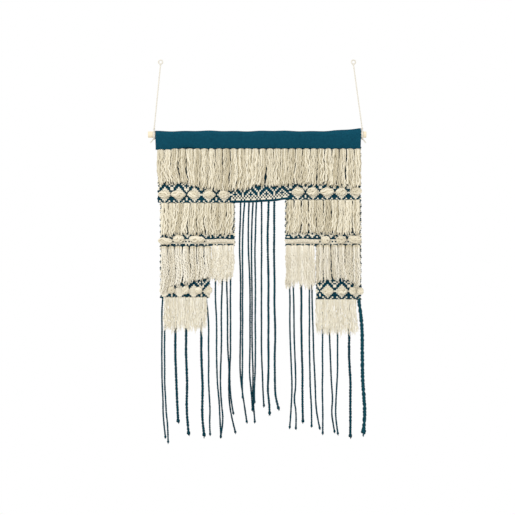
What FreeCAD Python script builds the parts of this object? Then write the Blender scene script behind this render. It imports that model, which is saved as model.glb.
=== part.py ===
"""Woven tapestry wall hanging on a dowel, hung by two cords.

Millimetres, +Z up, front towards -Y. The origin is on the hook line, where the two loops hang, above the
middle of the header. The flat back of the cloth lies on one plane, back_plane, which rests on a wall.
"""
import FreeCAD, Part
import math
import os

from FreeCAD import Vector

doc = FreeCAD.newDocument("wall_hanging")

# ---------------------------------------------------------------- driving dimensions
DIMENSIONS = {
    # rod and header
    "dowel_radius": 9.5, "dowel_left": -327, "dowel_right": 321, "dowel_chamfer": 1, "hang_drop": 220,
    "seat_depth": 0.4, "seat_inner": 305.5, "seat_outer": 312.5,
    "sleeve_clearance": 0.3, "sleeve_cloth": 1.2, "header_left": -305, "header_right": 305,
    "header_bottom": -261, "header_hem": 4.5,
    # cloth
    "back_plane": 11, "cloth": 2.5, "weave_left": -299, "weave_right": 306,
    "band_top": -362, "band_bottom": -414, "leg_bottom": -551,
    "left_leg_left": -292, "left_leg_right": -69, "right_leg_left": 80, "right_leg_right": 307,
    "left_foot_right": -143, "left_foot_bottom": -706, "right_foot_left": 172, "right_foot_bottom": -712,
    # fringe: knotted rows hang a little in front of the cloth, combed rows hang under its edges
    "row_gap": 0.5, "row_depth": 9, "combed_front": -1, "combed_depth": 4.9, "combed_drop": 3.5,
    "knot_radius": 3.7, "knot_length": 17, "knot_pitch": 21.7, "knot_gap": 0.4,
    # cords
    "thin_cord": 2.0, "middle_cord": 2.6, "thick_cord": 3.0, "edge_cord": 4.2, "end_knot": 1.7,
    "hanging_radius": 1.5, "hitch_x": 309, "left_loop_x": -290, "right_loop_x": 283,
    "loop_radius": 6, "loop_knot": 3, "hitch_knot": 3.4, "tail_length": 17,
    # bobbles
    "bobble_radius": 9,
}

sheet = doc.addObject("Spreadsheet::Sheet", "Dims")
for row, (alias, value) in enumerate(DIMENSIONS.items(), start=1):
    sheet.set(f"A{row}", alias)
    sheet.set(f"B{row}", str(value))
    sheet.setAlias(f"B{row}", alias)
doc.recompute()


def dim(alias):
    return float(sheet.get(alias))


parts = []  # the sub-parts, in the order they are made


def keep(obj, label):
    obj.Label = label
    parts.append(obj)
    return obj


def bind(obj, **expressions):
    """Bind an object's properties to the sheet; a double underscore stands for a dot."""
    for name, expression in expressions.items():
        obj.setExpression(name.replace("__", "."), expression)


# ---------------------------------------------------------------- dowel
def make_dowel():
    """Turned rod with a shallow seat at each end, where the hanging cord bites into it."""
    body = doc.addObject("PartDesign::Body", "Dowel")
    body.Placement.Base = Vector(0, 0, -dim("hang_drop"))
    plane = next(f for f in body.Origin.OriginFeatures if f.Role == "XZ_Plane")
    sketch = body.newObject("Sketcher::SketchObject", "DowelProfile")
    sketch.AttachmentSupport = [(plane, "")]
    sketch.MapMode = "FlatFace"
    radius, chamfer = dim("dowel_radius"), dim("dowel_chamfer")
    left, right = dim("dowel_left"), dim("dowel_right")
    inner, outer, seat = dim("seat_inner"), dim("seat_outer"), radius - dim("seat_depth")
    outline = [
        (left, 0), (left, radius - chamfer), (left + chamfer, radius),
        (-outer, radius), (-outer, seat), (-inner, seat), (-inner, radius),
        (inner, radius), (inner, seat), (outer, seat), (outer, radius),
        (right - chamfer, radius), (right, radius - chamfer), (right, 0),
    ]
    for start, end in zip(outline, outline[1:] + outline[:1]):
        sketch.addGeometry(Part.LineSegment(Vector(*start, 0), Vector(*end, 0)), False)
    turned = body.newObject("PartDesign::Revolution", "DowelTurned")
    turned.Profile = sketch
    turned.ReferenceAxis = (sketch, ["H_Axis"])
    turned.Angle = 360
    body.Tip = turned
    keep(body, "dowel")


# ---------------------------------------------------------------- header sleeve
def make_header():
    """Rod pocket: round over the dowel, flat behind, drawn in to a hem below, with the bore for the dowel."""
    body = doc.addObject("PartDesign::Body", "Header")
    plane = next(f for f in body.Origin.OriginFeatures if f.Role == "YZ_Plane")
    sketch = body.newObject("Sketcher::SketchObject", "HeaderProfile")
    sketch.AttachmentSupport = [(plane, "")]
    sketch.MapMode = "FlatFace"
    bore = dim("dowel_radius") + dim("sleeve_clearance")
    outer = bore + dim("sleeve_cloth")
    back, bottom, axis_z = dim("back_plane"), dim("header_bottom"), -dim("hang_drop")
    hem = Vector(back - dim("header_hem"), bottom, 0)
    # the front runs from the hem to the round top along the tangent
    centre = Vector(0, axis_z, 0)
    away = centre - hem
    lean = math.atan2(away.y, away.x) + math.asin(outer / away.Length)
    reach = math.sqrt(away.Length ** 2 - outer ** 2)
    front = hem + Vector(reach * math.cos(lean), reach * math.sin(lean), 0)
    start_angle = math.atan2(front.y - centre.y, front.x - centre.x) % (2 * math.pi)
    half_back = math.acos(back / outer)
    top_back = centre + Vector(back, outer * math.sin(half_back), 0)
    round_top = Part.ArcOfCircle(Part.Circle(centre, Vector(0, 0, 1), outer), half_back, start_angle)
    sketch.addGeometry(round_top, False)
    sketch.addGeometry(Part.LineSegment(front, hem), False)
    sketch.addGeometry(Part.LineSegment(hem, Vector(back, bottom, 0)), False)
    sketch.addGeometry(Part.LineSegment(Vector(back, bottom, 0), top_back), False)
    sketch.addGeometry(Part.Circle(centre, Vector(0, 0, 1), bore), False)
    pad = body.newObject("PartDesign::Pad", "HeaderLength")
    pad.Profile = sketch
    bind(pad, Length="Dims.header_right - Dims.header_left")
    bind(sketch, AttachmentOffset__Base__z="Dims.header_left")
    body.Tip = pad
    keep(body, "header_sleeve")


# ---------------------------------------------------------------- flat weave
def make_weave(label, left, right, top, bottom):
    """One flat piece of the weave, its back on the back plane; the four edges are sheet aliases."""
    slab = doc.addObject("Part::Box", label)
    bind(
        slab,
        Length=f"Dims.{right} - Dims.{left}",
        Width="Dims.cloth",
        Height=f"Dims.{top} - Dims.{bottom}",
        Placement__Base__x=f"Dims.{left}",
        Placement__Base__y="Dims.back_plane - Dims.cloth",
        Placement__Base__z=f"Dims.{bottom}",
    )
    keep(slab, label)


WEAVES = {
    "upper_ground_weave": ("weave_left", "weave_right", "header_bottom", "band_top"),
    "wide_pattern_band": ("weave_left", "weave_right", "band_top", "band_bottom"),
    "left_leg_weave": ("left_leg_left", "left_leg_right", "band_bottom", "leg_bottom"),
    "right_leg_weave": ("right_leg_left", "right_leg_right", "band_bottom", "leg_bottom"),
    "left_foot_weave": ("left_leg_left", "left_foot_right", "leg_bottom", "left_foot_bottom"),
    "right_foot_weave": ("right_foot_left", "right_leg_right", "leg_bottom", "right_foot_bottom"),
}


# ---------------------------------------------------------------- fringe
# label: left, right, top and bottom of the hanging yarn
KNOTTED_ROWS = {
    "fringe_top": (-301, 306, -271.4, -372),
    "fringe_left_second": (-291, -70, -432.4, -512),
    "fringe_right_second": (81, 307, -423.4, -512),
    "fringe_left_third": (-291, -146, -560.4, -660),
    "fringe_right_third": (174, 308, -556.4, -660),
}
# label: left, right, the alias of the edge that it hangs from, bottom
COMBED_ROWS = {
    "fringe_left_inner": (-142, -71, "leg_bottom", -655),
    "fringe_right_inner": (82, 171, "leg_bottom", -665),
    "fringe_left_fourth": (-290, -150, "left_foot_bottom", -790),
    "fringe_right_fourth": (170, 292, "right_foot_bottom", -805),
}


def make_skirt(label, left, right, top, bottom, back, depth):
    """A row of hanging yarn: a flat slab with a round top edge, so that it can swing up from its knots."""
    slab = doc.addObject("Part::Box", label + "_slab")
    slab.Length = right - left
    slab.Width = depth
    slab.Height = top - depth / 2 - bottom
    slab.Placement.Base = Vector(left, back - depth, bottom)
    edge = doc.addObject("Part::Cylinder", label + "_edge")
    edge.Radius = depth / 2
    edge.Height = right - left
    along_x = FreeCAD.Rotation(Vector(0, 1, 0), 90)
    edge.Placement = FreeCAD.Placement(Vector(left, back - depth / 2, top - depth / 2), along_x)
    skirt = doc.addObject("Part::Fuse", label)
    skirt.Base = slab
    skirt.Tool = edge
    keep(skirt, label)


def make_fringes():
    row_back = dim("back_plane") - dim("cloth") - dim("row_gap")
    for label, (left, right, top, bottom) in KNOTTED_ROWS.items():
        make_skirt(label, left, right, top, bottom, row_back, dim("row_depth"))
    combed_back = dim("combed_front") + dim("combed_depth")
    for label, (left, right, edge, bottom) in COMBED_ROWS.items():
        top = dim(edge) - dim("combed_drop")
        make_skirt(label, left, right, top, bottom, combed_back, dim("combed_depth"))


# ---------------------------------------------------------------- knots and bobbles
def make_group(label, solids):
    group = doc.addObject("Part::Feature", label)
    group.Shape = Part.makeCompound(solids)
    keep(group, label)


def knot_row(rows):
    """Lark's-head knots, evenly spaced above each of the named rows."""
    radius, length, pitch = dim("knot_radius"), dim("knot_length"), dim("knot_pitch")
    y = dim("back_plane") - dim("cloth") - radius
    solids = []
    for left, right, top, _ in (KNOTTED_ROWS[name] for name in rows):
        count = int((right - left - length) // pitch) + 1
        first = (left + right - (count - 1) * pitch - length) / 2
        z = top + dim("knot_gap") + radius
        for i in range(count):
            start = Vector(first + i * pitch, y, z)
            solids.append(Part.makeCylinder(radius, length, start, Vector(1, 0, 0)))
    return solids


# left end, right end and height of each puff of roving
BOBBLES = {
    "bobbles_top": [
        (-298, -262, -397), (-259, -217, -398), (-209, -179, -397), (-161, -128, -398), (-116, -90, -397),
        (103, 136, -388), (145, 175, -389), (184, 225, -388), (231, 261, -389), (276, 308, -388),
    ],
    "bobbles_left": [
        (-298, -256, -536), (-253, -220, -530), (-206, -158, -531),
        (-268, -248, -682), (-226, -206, -682), (-188, -167, -683), (-155, -137, -682),
    ],
    "bobbles_right": [
        (187, 213, -532), (231, 261, -532), (267, 308, -531),
        (195, 222, -684), (237, 264, -685), (271, 290, -684), (295, 313, -685),
    ],
}


def bobble(left, right, z):
    """A puff lying on the face of the cloth: a short round-ended roll."""
    radius = min(dim("bobble_radius"), (right - left) / 2)
    y = dim("back_plane") - dim("cloth") - radius
    ends = [Vector(left + radius, y, z), Vector(right - radius, y, z)]
    length = (ends[1] - ends[0]).Length
    balls = [Part.makeSphere(radius, end) for end in ends]
    if length < 1e-6:
        return balls[0]
    roll = Part.makeCylinder(radius, length, ends[0], Vector(1, 0, 0))
    return roll.fuse(balls).removeSplitter()


# ---------------------------------------------------------------- cords
def rounded_path(points):
    """Straight runs joined by tangent arcs, each arc as large as its two runs allow. Returns wire and radii."""
    share = 0.45
    edges, radii, here = [], [], points[0]
    for before, corner, after in zip(points, points[1:], points[2:]):
        inward, onward = corner - before, after - corner
        shorter = min(inward.Length, onward.Length)
        turn = inward.getAngle(onward)
        inward.normalize()
        onward.normalize()
        radius = share * shorter / math.tan(turn / 2)
        start, end = corner - inward * share * shorter, corner + onward * share * shorter
        bisector = onward - inward
        bisector.normalize()
        middle = corner + bisector * (radius / math.cos(turn / 2) - radius)
        edges.append(Part.LineSegment(here, start).toShape())
        edges.append(Part.Arc(start, middle, end).toShape())
        radii.append(radius)
        here = end
    edges.append(Part.LineSegment(here, points[-1]).toShape())
    return Part.Wire(edges), radii


def tube(label, points, radius):
    """A round cord along the route, checked against its section times its length."""
    wire, radii = rounded_path(points)
    ring = Part.makeCircle(radius, points[0], points[1] - points[0])
    solid = wire.makePipe(Part.Face(Part.Wire([ring])))
    if solid.ShapeType != "Solid":
        solid = solid.Solids[0]
    want = math.pi * radius ** 2 * wire.Length
    smallest = f"{min(radii):.0f}" if radii else "straight"
    print(f"{label}: length {wire.Length:.0f}, smallest radius {smallest}, volume ratio {solid.Volume / want:.4f}")
    if abs(solid.Volume / want - 1) > 0.01:
        raise RuntimeError(f"{label} isn't the volume that its route gives")
    return solid


# Each warp cord: its radius alias and its route from the cloth's edge down to its end knot, as x, y, z.
WARP_CORDS = {
    "left_cord_01": ("thin_cord", [
        (-284, 9, -709.5), (-287, 8.5, -747), (-286, 8, -801), (-287, 8.5, -857), (-286.5, 8, -908),
        (-286, 7.5, -958), (-283, 8, -1006), (-283, 7, -1053), (-279, 6, -1092), (-276, 5, -1118)]),
    "left_cord_02": ("thin_cord", [
        (-277, 9, -709.5), (-279, 8, -750), (-278, 8.5, -807), (-279, 8, -860), (-278, 8.5, -911),
        (-278.5, 8, -961), (-275, 8.5, -1012), (-274, 9, -1047), (-269, 8.5, -1083), (-268, 7.5, -1133)]),
    "left_cord_03": ("thick_cord", [
        (-245, 8, -709.5), (-247, 7.5, -756), (-246, 7, -810), (-247, 7.5, -863), (-245, 7, -913),
        (-243, 7.5, -967), (-241, 8, -1017), (-238, 5.8, -1071)]),
    "left_cord_04": ("thick_cord", [
        (-214, 8, -709.5), (-215, 7.5, -759), (-214, 7, -813), (-215, 7.5, -866), (-213, 8, -916),
        (-211, 7.5, -964), (-213, 7, -1014), (-212, 7.5, -1056), (-207, 5.8, -1107)]),
    "left_cord_05": ("thick_cord", [
        (-168, 8, -709.5), (-170, 7.5, -753), (-169, 7, -807), (-169.5, 7.5, -860), (-168, 8, -911),
        (-165, 7.5, -961), (-166, 7, -1012), (-167, 7.5, -1062), (-161, 5.8, -1112)]),
    "left_cord_06": ("thin_cord", [
        (-155, 9, -709.5), (-150, 8, -744), (-147, 8.5, -792), (-148, 8, -845), (-147, 8.5, -899),
        (-148, 8, -952), (-145, 7.5, -1003), (-143, 8, -1044), (-145, 7.5, -1077), (-143, 7, -1110)]),
    "left_cord_07": ("thin_cord", [
        (-129, 9, -554.5), (-128, 8.5, -605), (-127, 9, -658), (-127.5, 8.5, -712), (-124, 8, -762),
        (-123.5, 8.5, -813), (-124, 8, -866), (-123, 8.5, -916), (-121, 8, -967), (-116, 8.5, -1012),
        (-114, 8, -1062), (-111, 7.5, -1118)]),
    "left_cord_08": ("thin_cord", [
        (-105, 9, -554.5), (-107, 8.5, -608), (-106.5, 9, -661), (-109, 8.5, -712), (-110, 8, -765),
        (-109, 8.5, -818), (-110, 8, -872), (-112, 7.5, -919), (-112.5, 6, -970), (-109, 4, -1023),
        (-103, 1.5, -1071), (-111, -0.5, -1116)]),
    "left_cord_09": ("thin_cord", [
        (-95, 9, -554.5), (-93, 8.5, -608), (-94, 9, -661), (-92, 8.5, -712), (-91, 8, -765),
        (-91.5, 8.5, -818), (-90, 8, -869), (-86, 8.5, -916), (-88, 9, -967), (-86, 8.5, -1017),
        (-79, 9, -1062), (-68, 7.5, -1104)]),
    "left_cord_10": ("thin_cord", [
        (-81, 9, -554.5), (-83, 8.5, -608), (-82, 9, -661), (-83, 8, -715), (-82, 8.5, -768),
        (-82.5, 7.5, -821), (-82, 6, -872), (-85, 3, -919), (-84, 2.5, -970), (-80, 3, -1014), (-74, 2.5, -1047)]),
    "centre_cord_01": ("thin_cord", [
        (-52, 9, -417.5), (-53, 8.5, -468), (-55, 9, -518), (-55.5, 8.5, -569), (-53, 9, -619),
        (-52, 8.5, -670), (-53, 9, -723), (-52, 8.5, -777), (-53, 9, -830), (-54, 8.5, -881), (-54, 9, -928),
        (-48, 8.5, -979), (-41, 9, -1026), (-34, 7.5, -1073)]),
    "centre_cord_02": ("thin_cord", [
        (-40, 9, -417.5), (-44, 8, -465), (-46, 7.5, -516), (-47, 7, -566), (-46.5, 6.5, -616),
        (-46, 7, -667), (-47, 6.5, -720), (-46, 6, -774), (-47, 5.5, -827), (-46.5, 5, -878),
        (-47, 4, -925), (-48, 3, -964), (-46, 2.5, -1000)]),
    "centre_cord_03": ("thin_cord", [
        (-27, 9, -417.5), (-29, 8.5, -468), (-29.5, 8, -521), (-29, 7.5, -572), (-26, 8, -622),
        (-24.5, 7.5, -673), (-24, 8, -726), (-24.5, 7, -780), (-24, 6.5, -833), (-25, 6, -884),
        (-26, 5, -934), (-20, 3.5, -985), (-17, 2, -1037)]),
    "centre_cord_04": ("thin_cord", [
        (-15, 9, -417.5), (-18, 8.5, -465), (-19.5, 9, -516), (-20, 8.5, -569), (-19.5, 9, -622),
        (-18.5, 8.5, -676), (-18, 9, -729), (-18.5, 8.5, -783), (-18, 9, -836), (-17, 8.5, -884),
        (-15, 9, -928), (-16, 9, -979), (-14, 8.5, -1026), (-10, 7.5, -1073)]),
    "centre_cord_05": ("thin_cord", [
        (-5, 9, -417.5), (-7, 8.5, -462), (-8, 8, -513), (-10, 7.5, -566), (-9, 8, -619),
        (-8, 7.5, -673), (-8.5, 8, -726), (-9, 7.5, -780), (-8, 7, -833), (-8.5, 6, -884),
        (-9, 4.5, -931), (-12, 2.5, -982), (-11, 1.5, -1014)]),
    "centre_cord_06": ("thin_cord", [
        (10, 9, -417.5), (10.5, 8.5, -465), (10, 8, -518), (10.5, 8.5, -572), (9.5, 8, -625),
        (10, 8.5, -679), (9.5, 8, -732), (10, 8.5, -786), (9.5, 8, -839), (10.5, 8.5, -890),
        (13, 8, -937), (14, 8.5, -982), (17, 7.5, -1025)]),
    "centre_cord_07": ("middle_cord", [
        (31, 8.4, -417.5), (30, 8, -462), (28, 7.5, -513), (28.5, 8, -563), (30, 7.5, -616),
        (31, 8, -670), (30, 7.5, -723), (31, 8, -777), (30, 7.5, -830), (31, 8, -884), (30.5, 7.5, -934),
        (28, 8, -982), (33, 7.5, -1017), (34, 6.5, -1047)]),
    "centre_cord_08": ("middle_cord", [
        (48, 8.4, -417.5), (47.5, 8, -459), (48, 7.5, -510), (47, 8, -563), (48, 7.5, -616),
        (49, 8, -670), (48, 7.5, -720), (50, 8, -771), (51, 7.5, -821), (49, 8, -875), (49.5, 7.5, -925),
        (50, 8, -973), (52, 7.5, -1003), (60, 6.5, -1032)]),
    "right_cord_01": ("thin_cord", [
        (92, 9, -554.5), (94, 8.5, -608), (93, 9, -661), (95, 8.5, -715), (94, 8, -768), (95, 8.5, -821),
        (97, 8, -872), (99, 8.5, -919), (101, 9, -970), (99, 8.5, -1014), (97, 9, -1050), (94, 7.5, -1089)]),
    "right_cord_02": ("thin_cord", [
        (104, 9, -554.5), (105, 8.5, -608), (104, 8, -661), (106, 8.5, -715), (106.5, 8, -768),
        (107, 8.5, -821), (109, 8, -872), (111, 7.5, -919), (112, 6.5, -970), (106, 5, -1008),
        (114, 4.5, -1047), (112, 4, -1092)]),
    "right_cord_03": ("middle_cord", [
        (128, 8.4, -554.5), (127, 8, -608), (127.5, 7.5, -661), (129, 8, -715), (128, 7.5, -768),
        (129, 8, -821), (130, 7.5, -875), (132, 8, -925), (131.5, 7.5, -976), (132, 8, -1026),
        (133, 6.5, -1071)]),
    "right_cord_04": ("thin_cord", [
        (153, 9, -554.5), (152, 8.5, -608), (153, 9, -661), (152, 8.5, -715), (153, 8, -768),
        (152, 8.5, -821), (153, 8, -875), (154, 8.5, -928), (155, 8, -979), (159, 8.5, -1032), (159, 7.5, -1086)]),
    "right_cord_05": ("thin_cord", [
        (161, 9, -554.5), (159.5, 8.5, -608), (160, 9, -661), (160.5, 8.5, -715), (162, 8, -768),
        (164, 8.5, -821), (165, 8, -875), (168, 8.5, -925), (170, 8, -973), (171, 8.5, -1014),
        (175, 8, -1056), (183, 7.5, -1092)]),
    "right_cord_06": ("thin_cord", [
        (194, 9, -715.5), (191, 8.5, -762), (192, 8, -815), (191, 8.5, -869), (192, 8, -922),
        (190.5, 8.5, -976), (192, 8, -1026), (192.5, 8.5, -1065), (192, 7.5, -1107)]),
    "right_cord_07": ("thin_cord", [
        (211, 9, -715.5), (213, 8.5, -759), (212, 8, -810), (214, 8.5, -860), (216, 8, -911),
        (218, 8.5, -961), (222, 8, -1006), (218, 7.5, -1042), (222, 8, -1075), (227, 7.5, -1102)]),
    "right_cord_08": ("thin_cord", [
        (238, 9, -715.5), (236, 8.5, -765), (236.5, 8, -818), (236, 8.5, -872), (236.5, 8, -925),
        (233, 8.5, -979), (231, 8, -1020), (230, 8.5, -1062), (237, 7.5, -1108)]),
    "right_cord_09": ("thick_cord", [
        (272, 8, -715.5), (270, 7.5, -762), (271, 7, -815), (270, 7.5, -866), (272, 7, -913),
        (275, 7.5, -958), (274, 7, -1009), (274.5, 7.5, -1059), (274, 5.8, -1115)]),
    "right_cord_10": ("edge_cord", [
        (300, 6.8, -718), (305, 6.3, -752), (309, 6, -798), (309.5, 6.5, -851), (310, 6, -905),
        (311, 6.5, -958), (315, 6, -1006), (318, 6.5, -1053), (313, 3.8, -1102)]),
}


def make_warp_cords():
    """Each cord is a round tube with a rounder knot tied at its end, in one solid."""
    for label, (radius_alias, route) in WARP_CORDS.items():
        radius = dim(radius_alias)
        points = [Vector(*point) for point in route]
        knot = Part.makeSphere(radius * dim("end_knot"), points[-1])
        cord = doc.addObject("Part::Feature", label)
        cord.Shape = tube(label, points, radius).fuse(knot).removeSplitter()
        keep(cord, label)


def make_hangers():
    """On each side a taut cord from its hitch, two turns round the dowel, to the loop that goes on the hook."""
    radius, rod_z = dim("hanging_radius"), -dim("hang_drop")
    wrap = dim("dowel_radius") - dim("seat_depth") + radius
    loop_centre_z = -(dim("loop_radius") - radius)
    loop_knot_z = loop_centre_z - dim("loop_radius") - radius
    for side, sign, loop_x in (("left", -1, dim("left_loop_x")), ("right", 1, dim("right_loop_x"))):
        hitch_x = sign * dim("hitch_x")
        wrap_start = Vector(hitch_x - 2 * radius, 0, rod_z)
        wrap_outer = Part.makeCylinder(wrap + radius, 4 * radius, wrap_start, Vector(1, 0, 0))
        wrap_inner = Part.makeCylinder(wrap - radius, 4 * radius, wrap_start, Vector(1, 0, 0))
        turns = wrap_outer.cut(wrap_inner)
        top = Vector(hitch_x, 0, rod_z + wrap + radius + dim("hitch_knot") / 2)
        under = Vector(hitch_x, 0, rod_z - wrap - radius)
        outward = Vector(sign * 0.62, -0.1, -0.78)
        tail = Part.makeCylinder(radius, dim("tail_length"), under, outward)
        hitch = doc.addObject("Part::Feature", side + "_hitch")
        knots = [Part.makeSphere(dim("hitch_knot"), top), Part.makeSphere(dim("hitch_knot"), under)]
        hitch.Shape = turns.fuse([tail] + knots).cut(wrap_inner).removeSplitter()
        keep(hitch, side + "_hitch")

        loop_bottom = Vector(loop_x, 0, loop_knot_z)
        loop = doc.addObject("Part::Feature", side + "_loop")
        ring = Part.makeTorus(dim("loop_radius"), radius, Vector(loop_x, 0, loop_centre_z), Vector(0, 1, 0))
        loop.Shape = ring.fuse(Part.makeSphere(dim("loop_knot"), loop_bottom)).removeSplitter()
        keep(loop, side + "_loop")

        cord = doc.addObject("Part::Feature", side + "_hanging_cord")
        whole = tube(side + "_hanging_cord", [top, loop_bottom], radius)
        cord.Shape = whole.cut([hitch.Shape, loop.Shape])
        keep(cord, side + "_hanging_cord")


# ---------------------------------------------------------------- build
make_dowel()
make_header()
for weave, edges in WEAVES.items():
    make_weave(weave, *edges)
make_fringes()
make_group("knot_row_top", knot_row(["fringe_top"]))
make_group("knot_rows_left", knot_row(["fringe_left_second", "fringe_left_third"]))
make_group("knot_rows_right", knot_row(["fringe_right_second", "fringe_right_third"]))
for group, puffs in BOBBLES.items():
    make_group(group, [bobble(*puff) for puff in puffs])
make_warp_cords()
make_hangers()
doc.recompute()

for obj in doc.Objects:
    if "Invalid" in obj.State or "Error" in obj.State:
        raise RuntimeError(f"{obj.Label} failed: {obj.State}")
for obj in parts:
    if obj.Shape.isNull() or not obj.Shape.isValid() or not obj.Shape.Solids:
        raise RuntimeError(f"{obj.Label} has no valid solid")

os.makedirs("parts", exist_ok=True)
for obj in parts:
    obj.Shape.exportStep(f"parts/{obj.Label}.step")
    box = obj.Shape.BoundBox
    print(f"{obj.Label}: {len(obj.Shape.Solids)} solid(s), volume {obj.Shape.Volume:.0f},"
          f" x {box.XMin:.1f} {box.XMax:.1f}, y {box.YMin:.1f} {box.YMax:.1f}, z {box.ZMin:.1f} {box.ZMax:.1f}")
print(f"{len(parts)} sub-parts")
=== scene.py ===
"""Looks of the woven wall hanging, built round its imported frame. Metres, +Z up, front towards -Y."""
import math

import bpy
import numpy as np
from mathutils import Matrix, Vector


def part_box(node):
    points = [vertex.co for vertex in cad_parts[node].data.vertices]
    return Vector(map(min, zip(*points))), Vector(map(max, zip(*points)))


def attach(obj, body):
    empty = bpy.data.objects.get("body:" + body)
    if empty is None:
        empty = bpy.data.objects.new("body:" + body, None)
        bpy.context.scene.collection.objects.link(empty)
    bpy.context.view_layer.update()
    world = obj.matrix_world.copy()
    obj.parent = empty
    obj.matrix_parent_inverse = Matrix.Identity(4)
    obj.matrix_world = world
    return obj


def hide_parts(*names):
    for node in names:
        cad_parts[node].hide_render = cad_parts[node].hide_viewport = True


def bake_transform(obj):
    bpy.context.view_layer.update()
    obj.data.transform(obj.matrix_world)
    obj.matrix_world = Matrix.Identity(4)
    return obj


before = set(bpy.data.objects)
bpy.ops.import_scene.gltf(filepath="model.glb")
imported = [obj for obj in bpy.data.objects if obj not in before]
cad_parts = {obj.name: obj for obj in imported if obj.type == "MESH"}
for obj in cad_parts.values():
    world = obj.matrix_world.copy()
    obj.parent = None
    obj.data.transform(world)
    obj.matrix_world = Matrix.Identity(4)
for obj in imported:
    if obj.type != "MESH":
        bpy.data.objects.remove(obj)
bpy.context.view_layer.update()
MM = 0.001
LAY = 0.0075                           # one turn of a hanging cord's plies


# ---------------------------------------------------------------- camera and light
def make_camera():
    """A long lens, level and straight on, looking at the middle of the hanging."""
    data = bpy.data.cameras.new("camera")
    data.lens, data.sensor_width = 100, 36
    seen_width = 1.5296
    camera = bpy.data.objects.new("camera", data)
    camera.location = (-0.002, -seen_width * data.lens / data.sensor_width, -0.585)
    camera.rotation_euler = (math.pi / 2, 0, 0)
    bpy.context.scene.collection.objects.link(camera)
    bpy.context.scene.camera = camera


def make_lamp(name, place, aim, size, watts):
    data = bpy.data.lights.new(name, "AREA")
    data.shape, data.size, data.energy = "SQUARE", size, watts
    lamp = bpy.data.objects.new(name, data)
    lamp.location = place
    direction = Vector(aim) - Vector(place)
    lamp.rotation_euler = direction.to_track_quat("-Z", "Y").to_euler()
    bpy.context.scene.collection.objects.link(lamp)


def make_studio():
    scene = bpy.context.scene
    scene.view_settings.view_transform = "Standard"
    world = bpy.data.worlds.new("studio")
    world.use_nodes = True
    world.node_tree.nodes["Background"].inputs["Color"].default_value = (1, 1, 1, 1)
    world.node_tree.nodes["Background"].inputs["Strength"].default_value = 1.0
    scene.world = world
    make_lamp("key", (-1.6, -2.6, 1.4), (0, 0, -0.5), 1.2, 44)
    make_lamp("fill", (2.2, -2.2, 0.2), (0, 0, -0.6), 1.6, 8)


# ---------------------------------------------------------------- materials
class Shader:
    """A Principled material whose colour, roughness and bump come from a few procedural nodes."""

    def __init__(self, name, roughness=0.9, sheen=0.25):
        self.material = bpy.data.materials.new(name)
        self.material.use_nodes = True
        self.tree = self.material.node_tree
        self.shader = self.tree.nodes["Principled BSDF"]
        self.shader.inputs["Roughness"].default_value = roughness
        self.shader.inputs["Sheen Weight"].default_value = sheen
        self.shader.inputs["Sheen Roughness"].default_value = 0.6
        self.shader.inputs["Specular IOR Level"].default_value = 0.25
        self.place = self.node("ShaderNodeTexCoord").outputs["Object"]

    def node(self, kind, **values):
        made = self.tree.nodes.new(kind)
        for key, value in values.items():
            setattr(made, key, value)
        return made

    def link(self, source, target):
        self.tree.links.new(source, target)

    def noise(self, scale, detail, stretch=(1, 1, 1)):
        mapping = self.node("ShaderNodeMapping")
        mapping.inputs["Scale"].default_value = stretch
        self.link(self.place, mapping.inputs["Vector"])
        texture = self.node("ShaderNodeTexNoise")
        texture.inputs["Scale"].default_value = scale
        texture.inputs["Detail"].default_value = detail
        self.link(mapping.outputs["Vector"], texture.inputs["Vector"])
        return texture.outputs["Fac"]

    def wave(self, scale, turn, distortion):
        mapping = self.node("ShaderNodeMapping")
        mapping.inputs["Rotation"].default_value = turn
        self.link(self.place, mapping.inputs["Vector"])
        texture = self.node("ShaderNodeTexWave", wave_type="BANDS", bands_direction="X")
        texture.inputs["Scale"].default_value = scale
        texture.inputs["Distortion"].default_value = distortion
        texture.inputs["Detail"].default_value = 1.0
        self.link(mapping.outputs["Vector"], texture.inputs["Vector"])
        return texture.outputs["Fac"]

    def tint(self):
        """Each yarn's own random number, stored on the mesh."""
        return self.node("ShaderNodeAttribute", attribute_name="tint").outputs["Fac"]

    def mix(self, factor, low, high):
        mixer = self.node("ShaderNodeMix", data_type="RGBA")
        self.link(factor, mixer.inputs["Factor"])
        for socket, value in ((mixer.inputs[6], low), (mixer.inputs[7], high)):
            if isinstance(value, tuple):
                socket.default_value = (*value, 1)
            else:
                self.link(value, socket)
        return mixer.outputs[2]

    def multiply(self, first, second):
        mixer = self.node("ShaderNodeMix", data_type="RGBA", blend_type="MULTIPLY")
        mixer.inputs["Factor"].default_value = 1.0
        self.link(first, mixer.inputs[6])
        self.link(second, mixer.inputs[7])
        return mixer.outputs[2]

    def colour(self, socket):
        self.link(socket, self.shader.inputs["Base Color"])

    def bump(self, height, strength, distance):
        bump = self.node("ShaderNodeBump")
        bump.inputs["Strength"].default_value = strength
        bump.inputs["Distance"].default_value = distance
        self.link(height, bump.inputs["Height"])
        self.link(bump.outputs["Normal"], self.shader.inputs["Normal"])

    def rough(self, factor, low, high):
        span = self.node("ShaderNodeMapRange")
        span.inputs["To Min"].default_value = low
        span.inputs["To Max"].default_value = high
        self.link(factor, span.inputs["Value"])
        self.link(span.outputs["Result"], self.shader.inputs["Roughness"])


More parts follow.
